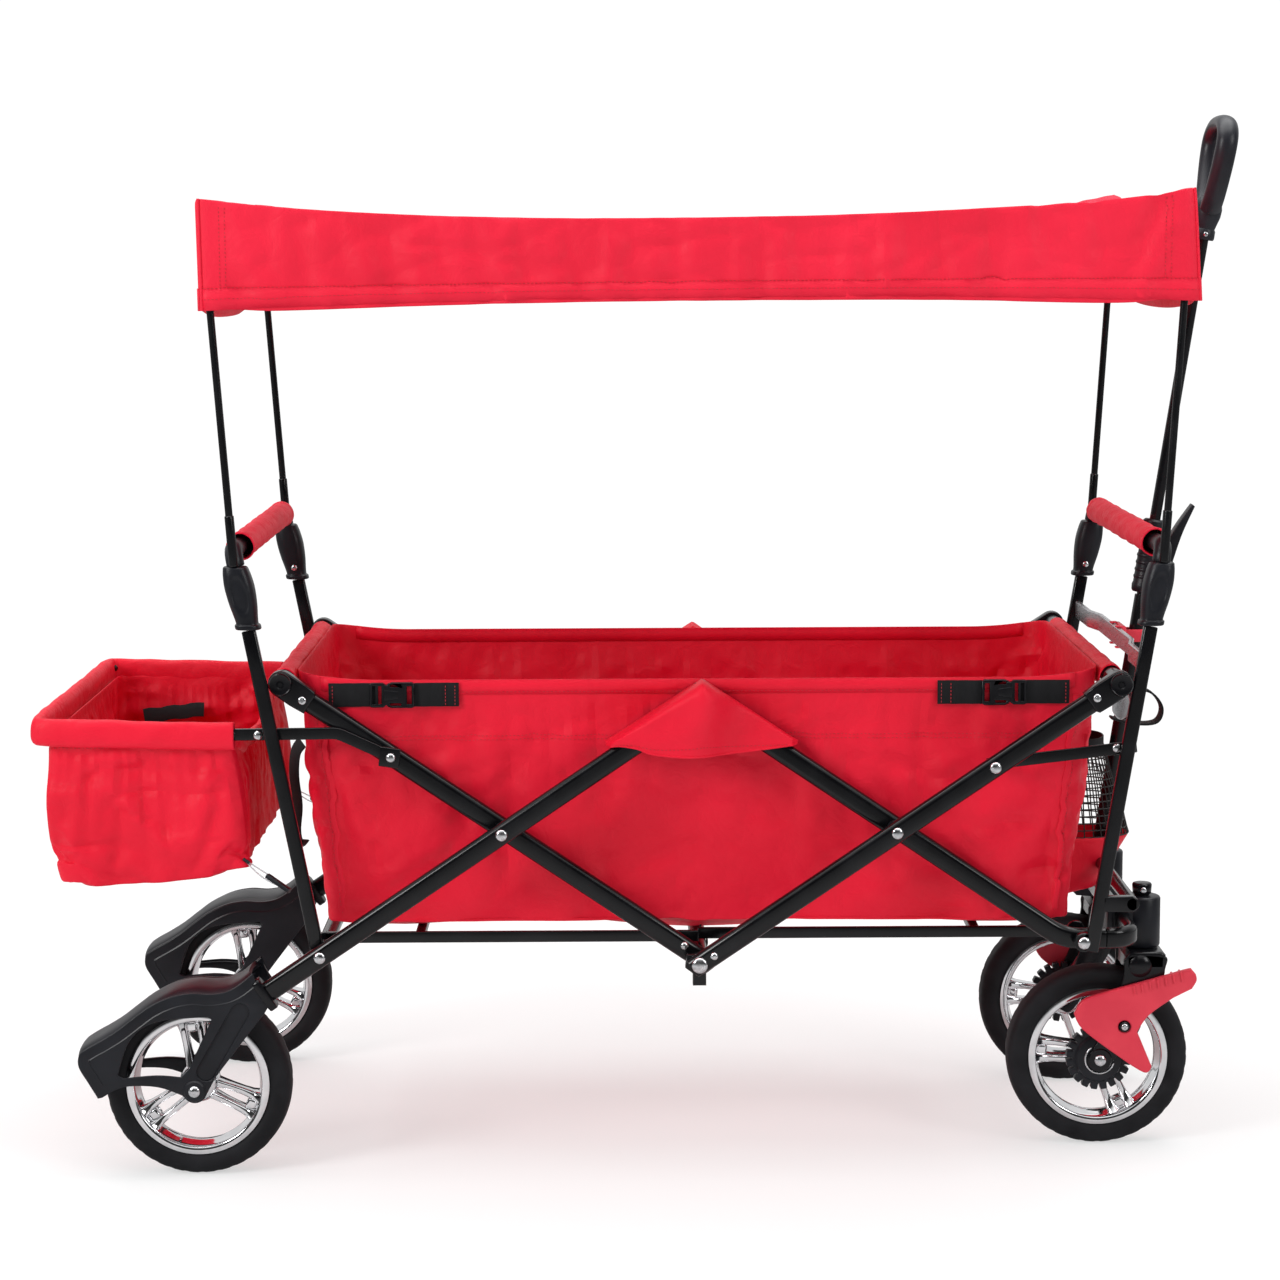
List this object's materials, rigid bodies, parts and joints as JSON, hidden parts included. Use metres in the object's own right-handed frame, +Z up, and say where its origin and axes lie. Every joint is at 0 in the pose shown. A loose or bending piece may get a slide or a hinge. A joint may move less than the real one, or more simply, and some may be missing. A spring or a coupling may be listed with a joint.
{
  "type": "folding wagon",
  "caption": "Folding four-wheel pull wagon with crossed side tubes, a fabric tub, sun canopy, rear basket and telescoping pull handle.",
  "frame": {"origin": "on the ground, at the middle of the footprint's length and width", "axes": "+X forwards to the pull handle, +Y to the wagon's left side, +Z up; set up ready for use on its four wheels"},
  "size_m": [1.2844, 0.553, 1.1138],
  "materials": {
    "black_paint": "gloss powder coat",
    "black_plastic": "satin moulded",
    "chrome": "polished",
    "tyre": "matte foam rubber",
    "red_fabric": "woven polyester",
    "red_plastic": "satin moulded",
    "silver_bar": "satin",
    "webbing": "woven strap",
    "mesh_net": "open net"
  },
  "bodies": {
    "centre": {"centre_cross_tube": "black_paint"},
    "rear_brace": {"rear_brace_tube_right": "black_paint", "rear_brace_tube_left": "black_paint", "rear_rail": "black_paint"},
    "front_brace": {"front_brace_tube_right": "black_paint", "front_brace_tube_left": "black_paint", "front_rail": "black_paint"},
    "rear_leg": {"rear_leg_right": "black_paint", "rear_leg_left": "black_paint", "rear_cross_tube": "black_paint", "rear_fork_right": "black_plastic", "rear_fork_left": "black_plastic"},
    "front_leg": {"front_leg_right": "black_paint", "front_leg_left": "black_paint", "front_cross_tube": "black_paint", "caster_housing_right": "black_plastic", "caster_housing_left": "black_plastic"},
    "rear_posts": {"rear_post_right": "black_paint", "rear_post_left": "black_paint", "rear_post_sleeve_right": "black_plastic", "rear_post_sleeve_left": "black_plastic", "rear_canopy_rod_right": "black_paint", "rear_canopy_rod_left": "black_paint", "rear_push_bar": "black_plastic", "rear_grip_cover": "red_fabric"},
    "front_posts": {"front_post_right": "black_paint", "front_post_left": "black_paint", "front_post_sleeve_right": "black_plastic", "front_post_sleeve_left": "black_plastic", "front_canopy_rod_right": "black_paint", "front_canopy_rod_left": "black_paint", "front_push_bar": "black_plastic", "front_grip_cover": "red_fabric", "front_cross_brace": "silver_bar", "handle_pivot_bar": "black_paint", "handle_clip": "red_plastic"},
    "basket": {"basket_hoop": "black_paint", "basket_bag": "red_fabric"},
    "front_links": {"front_link_right": "black_paint", "front_link_left": "black_paint"},
    "floor_rear": {"floor_brace_rear": "black_paint"},
    "floor_front": {"floor_brace_front": "black_paint"},
    "cargo_tub": {"tub": "red_fabric"},
    "sun_canopy": {"canopy": "red_fabric"},
    "pull_handle": {"pull_tube_outer": "black_paint"},
    "handle_lock": {"handle_lock_lever": "black_plastic"},
    "pull_slide": {"pull_tube_inner": "black_paint", "pull_grip": "black_plastic"},
    "rear_wheel_right": {"rear_wheel_right_rim": "chrome", "rear_wheel_right_tyre": "tyre"},
    "caster_right": {"caster_fork_right": "black_plastic"},
    "front_wheel_right": {"front_wheel_right_rim": "chrome", "front_wheel_right_tyre": "tyre"},
    "brake_right": {"brake_pedal_right": "red_plastic"},
    "rear_wheel_left": {"rear_wheel_left_rim": "chrome", "rear_wheel_left_tyre": "tyre"},
    "caster_left": {"caster_fork_left": "black_plastic"},
    "front_wheel_left": {"front_wheel_left_rim": "chrome", "front_wheel_left_tyre": "tyre"},
    "brake_left": {"brake_pedal_left": "red_plastic"}
  },
  "joints": [
    {"name": "fold", "type": "hinge", "parent": "centre", "child": "rear_brace", "pos_m": [0.05071, 0, 0.229], "axis": [0, 1, 0], "range_deg": [0, 41.8], "deforming": ["tub", "canopy", "basket_bag"]},
    {"name": "front_brace_pivot", "type": "hinge", "parent": "centre", "child": "front_brace", "pos_m": [0.05071, 0, 0.229], "axis": [0, 1, 0], "range_deg": [-42.2, 0.1]},
    {"name": "rear_leg_pivot", "type": "hinge", "parent": "rear_brace", "child": "rear_leg", "pos_m": [-0.15429, 0, 0.36748], "axis": [0, 1, 0], "range_deg": [-84, 0.1]},
    {"name": "front_leg_pivot", "type": "hinge", "parent": "front_brace", "child": "front_leg", "pos_m": [0.25571, 0, 0.36748], "axis": [0, 1, 0], "range_deg": [-0.1, 84]},
    {"name": "rear_post_pivot", "type": "hinge", "parent": "rear_leg", "child": "rear_posts", "pos_m": [-0.34459, 0, 0.23893], "axis": [0, 1, 0], "range_deg": [-0.1, 47.1]},
    {"name": "front_post_pivot", "type": "hinge", "parent": "front_leg", "child": "front_posts", "pos_m": [0.45271, 0, 0.2473], "axis": [0, 1, 0], "range_deg": [-46.09, 0.1]},
    {"name": "basket_pivot", "type": "hinge", "parent": "rear_brace", "child": "basket", "pos_m": [-0.26959, 0, 0.44537], "axis": [0, 1, 0], "range_deg": [-114.49, 0.1]},
    {"name": "front_link_pivot", "type": "hinge", "parent": "front_brace", "child": "front_links", "pos_m": [0.35671, 0, 0.43571], "axis": [0, 1, 0], "range_deg": [-0.1, 111.88]},
    {"name": "tub_lift", "type": "hinge", "parent": "rear_leg", "child": "cargo_tub", "pos_m": [0.05071, 0, 0.50596], "axis": [0, 1, 0], "range_deg": [-0.1, 42.2]},
    {"name": "canopy_level", "type": "hinge", "parent": "rear_posts", "child": "sun_canopy", "pos_m": [-0.45229, 0, 1.013], "axis": [0, 1, 0], "range_deg": [-5.3, 0.1]},
    {"name": "floor_rear_pivot", "type": "hinge", "parent": "rear_leg", "child": "floor_rear", "pos_m": [-0.34459, 0, 0.23893], "axis": [0, 1, 0], "range_deg": [-31.43, 0.1]},
    {"name": "floor_front_pivot", "type": "hinge", "parent": "front_leg", "child": "floor_front", "pos_m": [0.45271, 0, 0.2473], "axis": [0, 1, 0], "range_deg": [-0.1, 30.14]},
    {"name": "pull_handle_swing", "type": "hinge", "parent": "front_posts", "child": "pull_handle", "pos_m": [0.50321, 0, 0.288], "axis": [0, 1, 0], "range_deg": [0, 95]},
    {"name": "pull_handle_slide", "type": "slide", "parent": "pull_handle", "child": "pull_slide", "axis": [0.1537, 0, 0.9881], "range_m": [0, 0.24]},
    {"name": "handle_lock_lever", "type": "hinge", "parent": "pull_handle", "child": "handle_lock", "pos_m": [0.57235, 0, 0.61223], "axis": [0, 1, 0], "range_deg": [0, 75]},
    {"name": "rear_wheel_spin_right", "type": "hinge", "parent": "rear_leg", "child": "rear_wheel_right", "pos_m": [-0.47729, -0.228, 0.098], "axis": [0, 1, 0], "continuous": true},
    {"name": "caster_swivel_right", "type": "hinge", "parent": "front_leg", "child": "caster_right", "pos_m": [0.53271, -0.131, 0.217], "axis": [0, 0, 1], "continuous": true},
    {"name": "front_wheel_spin_right", "type": "hinge", "parent": "caster_right", "child": "front_wheel_right", "pos_m": [0.48471, -0.131, 0.098], "axis": [0, 1, 0], "continuous": true},
    {"name": "brake_right", "type": "hinge", "parent": "caster_right", "child": "brake_right", "pos_m": [0.50931, -0.17, 0.1367], "axis": [0, 1, 0], "range_deg": [0, 14]},
    {"name": "rear_wheel_spin_left", "type": "hinge", "parent": "rear_leg", "child": "rear_wheel_left", "pos_m": [-0.47729, 0.228, 0.098], "axis": [0, 1, 0], "continuous": true},
    {"name": "caster_swivel_left", "type": "hinge", "parent": "front_leg", "child": "caster_left", "pos_m": [0.53271, 0.131, 0.217], "axis": [0, 0, 1], "continuous": true},
    {"name": "front_wheel_spin_left", "type": "hinge", "parent": "caster_left", "child": "front_wheel_left", "pos_m": [0.48471, 0.131, 0.098], "axis": [0, 1, 0], "continuous": true},
    {"name": "brake_left", "type": "hinge", "parent": "caster_left", "child": "brake_left", "pos_m": [0.50931, 0.17, 0.1367], "axis": [0, 1, 0], "range_deg": [0, 14]}
  ],
  "couplings": [
    {"joint": "rear_leg_pivot", "follows": "fold", "ratio": -2},
    {"joint": "front_brace_pivot", "follows": "fold", "ratio": -1},
    {"joint": "front_leg_pivot", "follows": "fold", "ratio": 2},
    {"joint": "rear_post_pivot", "follows": "fold", "ratio": 1.1172},
    {"joint": "front_post_pivot", "follows": "fold", "ratio": -1.0931},
    {"joint": "basket_pivot", "follows": "fold", "ratio": -2.7294},
    {"joint": "front_link_pivot", "follows": "fold", "ratio": 2.667},
    {"joint": "tub_lift", "follows": "fold", "ratio": 1},
    {"joint": "canopy_level", "follows": "fold", "ratio": -0.1172},
    {"joint": "floor_rear_pivot", "follows": "fold", "ratio": -0.7423},
    {"joint": "floor_front_pivot", "follows": "fold", "ratio": 0.7115}
  ]
}
